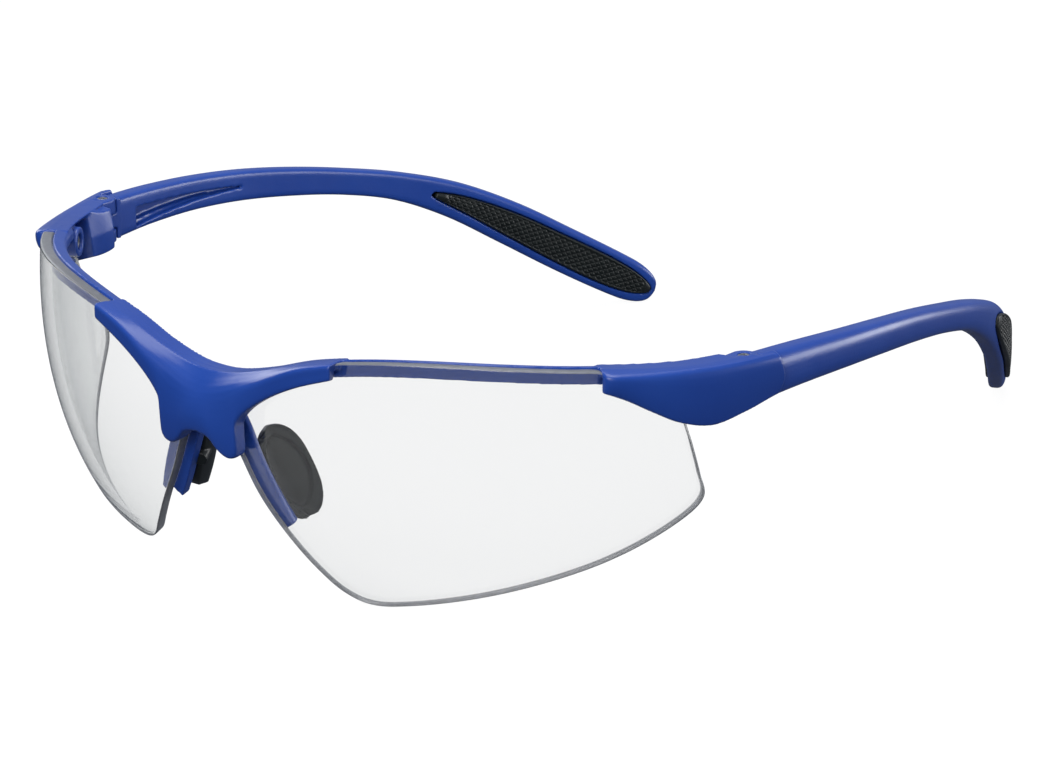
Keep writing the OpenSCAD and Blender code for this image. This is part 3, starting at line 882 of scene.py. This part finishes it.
def lobe(name, span, half_at, out_sign, depth):
    """One rubber lobe in its seat: a plain rim round a crowned field of small diamonds."""
    s = np.linspace(span[0] + 0.006, span[1] - 0.006, 420)
    length = np.concatenate([[0], np.cumsum(np.linalg.norm(np.diff(temple_axis(s), axis=0), axis=1))])
    half = np.maximum(half_at(s), 0.2)
    w = temple_half_width(s)
    ends = bell(s, span)
    columns = []
    for q in np.linspace(-1, 1, 7):
        columns.append(temple_point(s, out_sign * (w - depth + 0.05), q * (half - 0.1)))
    columns.append(temple_point(s, out_sign * (w - 0.1), half))
    for q in np.linspace(1, -1, 57):
        rim = smooth_step(np.abs(q) + 0 * s, 0.80, 0.88)
        rim = np.maximum(rim, smooth_step(1 - ends, 0.35, 0.5))
        crown = 0.42 * np.sqrt(np.maximum(1 - 0.85 * q * q, 0))
        field = 0.20 * diamonds(length, q * half, 1.5, 1.15, 0.22)
        edge = 0.18 * (1 - smooth_step(np.abs(q) + 0 * s, 0.94, 1.0))
        lift = crown + (1 - rim) * (field - 0.12) + rim * (edge - 0.02)
        columns.append(temple_point(s, out_sign * (w + lift * np.minimum(1, 2 * ends)), q * half))
    columns.append(temple_point(s, out_sign * (w - 0.1), -half))
    return loft(name, np.stack(columns, axis=1))


def grip():
    """Rubber grip on the temple's tip: a long inner lobe and a short outer one."""
    inner = lobe("inner", GRIP, grip_half, -1, GRIP_DEPTH)
    outer = lobe("outer", LOBE, lobe_half, 1, LOBE_DEPTH)
    return merge("temple_grip", [inner, outer])


# ---- Screws --------------------------------------------------------------------------------------

def hinge_screw():
    """Slotted pan-head screw through the hinge."""
    base = HINGE_BASE + 0.3
    head = HINGE_TOP - HEAD_H
    profile = [
        (0.3, base), (SCREW_R, base + 0.35), (SCREW_R, head), (HEAD_R, head), (HEAD_R, head + 0.3),
        (0.9, head + 0.42), (0.5, head + 0.47), (0.02, head + HEAD_H),
    ]
    screw = lathe("hinge_screw", profile, (HALF_SPAN, 0, 0))
    slot = box_piece("slot", (HALF_SPAN - 1.5, -0.16, head + 0.2), (HALF_SPAN + 1.5, 0.16, head + 1))
    return combine(screw, [slot], "DIFFERENCE")


def lens_screw():
    """Small screw that holds the lens, driven in from behind."""
    spot = skin(*SCREW_AT, 0)
    axis = lens_out(*SCREW_AT)
    profile = [
        (0.02, -4.5), (0.8, -4.5), (1.15, -4.4), (1.35, -4.15), (1.35, -3.7), (0.7, -3.7),
        (0.7, 0.5), (0.5, 0.7), (0.02, 0.7),
    ]
    screw = lathe("lens_screw", profile, spot, axis)
    socket = cylinder("socket", 0.5, -5, -4.1, spot, axis, 6)
    return combine(screw, [socket], "DIFFERENCE")


# ---- Assembly ------------------------------------------------------------------------------------

def pair(piece, name, material, slot, bodies, nodes):
    """Finishes a left piece and its mirror image."""
    other = flipped(piece, name + "_right")
    piece.name = name + "_left"
    finish_piece(piece, material, slot, bodies[0], nodes[0])
    finish_piece(other, material, slot, bodies[1], nodes[1])


def build():
    """Every visible piece of the glasses."""
    blue = blue_plastic()
    rubber = black_rubber()
    steel = screw_steel()
    finish_piece(front_frame(), blue, "frame_plastic", "front", "front_frame")
    finish_piece(lens_piece(), clear_lens(), "lens_clear", "front", "lens")
    finish_piece(nose_bracket(), blue, "frame_plastic", "front", "nose_bracket")
    front = ("front", "front")
    arms = ("temple_left", "temple_right")
    pair(nose_pad(), "nose_pad_soft", rubber, "soft_rubber", front, ("nose_pad_left", "nose_pad_right"))
    pair(temple(), "temple_arm", blue, "frame_plastic", arms, ("temple_left", "temple_right"))
    pair(grip(), "temple_grip", rubber, "soft_rubber", arms, ("temple_pad_left", "temple_pad_right"))
    pair(hinge_screw(), "hinge_pin", steel, "screw_steel", front, ("hinge_screw_left", "hinge_screw_right"))
    pair(lens_screw(), "lens_pin", steel, "screw_steel", front, ("lens_screw_left", "lens_screw_right"))


# ---- Stage ---------------------------------------------------------------------------------------

CAMERA_AZIMUTH = 39.29
CAMERA_ELEVATION = 18.61
CAMERA_DISTANCE = 662.0
CAMERA_TARGET = np.array([19.5, 8.1, -19.0])
CAMERA_LENS = 137.14


def camera():
    """A long lens from the front left of the wearer, a little above."""
    data = bpy.data.cameras.new("camera")
    data.lens = CAMERA_LENS
    data.sensor_width = 36
    data.clip_start = 0.01
    data.clip_end = 20
    eye = bpy.data.objects.new("camera", data)
    az = math.radians(CAMERA_AZIMUTH)
    el = math.radians(CAMERA_ELEVATION)
    back = np.array([math.sin(az) * math.cos(el), -math.cos(az) * math.cos(el), math.sin(el)])
    eye.location = Vector((CAMERA_TARGET + CAMERA_DISTANCE * back + ORIGIN) * MM)
    eye.rotation_euler = Euler((math.pi / 2 - el, 0, az))
    bpy.context.scene.collection.objects.link(eye)
    bpy.context.scene.camera = eye


def softbox(name, place, size, power):
    """A rectangular area light, wide and high, aimed at the middle of the glasses."""
    data = bpy.data.lights.new(name, "AREA")
    data.shape = "RECTANGLE"
    data.size, data.size_y = size
    data.energy = power
    lamp = bpy.data.objects.new(name, data)
    lamp.location = Vector(place)
    aim = Vector((0, 0, 0.02)) - lamp.location
    lamp.rotation_euler = aim.to_track_quat("-Z", "Y").to_euler()
    lamp.visible_transmission = False
    bpy.context.scene.collection.objects.link(lamp)


def studio_world():
    """White where the camera looks. For the glasses: a bright backdrop behind them in a dim room."""
    world = bpy.data.worlds.new("studio")
    world.use_nodes = True
    tree = world.node_tree
    tree.nodes.clear()
    place = tree.nodes.new("ShaderNodeTexCoord")
    split = tree.nodes.new("ShaderNodeSeparateXYZ")
    tree.links.new(place.outputs["Generated"], split.inputs["Vector"])
    factors = []
    for axis, low, high in (("Y", -0.1, 0.45), ("Z", -0.2, 0.15)):
        ramp = tree.nodes.new("ShaderNodeMapRange")
        ramp.inputs["From Min"].default_value = low
        ramp.inputs["From Max"].default_value = high
        tree.links.new(split.outputs[axis], ramp.inputs["Value"])
        factors.append(ramp.outputs["Result"])
    backdrop = arithmetic(tree, "MULTIPLY", factors[0], factors[1])
    room = colours(tree, backdrop, (0.0, (0.09, 0.10, 0.125)), (1.0, (0.30, 0.32, 0.38)))
    path = tree.nodes.new("ShaderNodeLightPath")
    bounced = arithmetic(tree, "ADD", path.outputs["Diffuse Depth"], path.outputs["Glossy Depth"])
    direct = arithmetic(tree, "LESS_THAN", bounced, 0.5)
    through = arithmetic(tree, "MULTIPLY", path.outputs["Is Transmission Ray"], direct)
    seen = arithmetic(tree, "MAXIMUM", path.outputs["Is Camera Ray"], through)
    room = blend(tree, path.outputs["Is Transmission Ray"], room, (0, 0, 0))
    background = tree.nodes.new("ShaderNodeBackground")
    output = tree.nodes.new("ShaderNodeOutputWorld")
    tree.links.new(blend(tree, seen, room, (1, 1, 1)), background.inputs["Color"])
    tree.links.new(background.outputs["Background"], output.inputs["Surface"])
    bpy.context.scene.world = world


def floor():
    """A plain white table that glows a little, so that only a faint contact shadow shows."""
    reach = 6.0
    mesh = bpy.data.meshes.new("table")
    corners = [(-reach, -reach, 0), (reach, -reach, 0), (reach, reach, 0), (-reach, reach, 0)]
    mesh.from_pydata(corners, [], [(0, 1, 2, 3)])
    table = bpy.data.objects.new("table", mesh)
    bpy.context.scene.collection.objects.link(table)
    material, tree, shader = new_material("white_table")
    pale = colours(tree, noise(tree, 4, 2.0), (0.3, (0.08, 0.08, 0.08)), (0.7, (0.09, 0.09, 0.09)))
    tree.links.new(pale, shader.inputs["Base Color"])
    shader.inputs["Roughness"].default_value = 1.0
    shader.inputs["Specular IOR Level"].default_value = 0.0
    shader.inputs["Emission Color"].default_value = (1, 1, 1, 1)
    shader.inputs["Emission Strength"].default_value = 0.95
    mesh.materials.append(material)
    table.visible_diffuse = False
    table.visible_glossy = False


def stage():
    """A plain white table and surround with soft studio light."""
    floor()
    studio_world()
    softbox("overhead", (-0.1, 0.1, 1.0), (0.7, 0.7), 6.5)
    softbox("camera_side", (0.35, -1.05, 0.75), (1.0, 1.0), 15.5)
    softbox("left_side", (-0.91, 0.19, 0.34), (0.55, 0.4), 2.2)
    softbox("behind_right", (0.65, 0.76, 0.10), (0.9, 0.3), 6)
    bpy.context.scene.view_settings.view_transform = "Standard"


build()
camera()
stage()
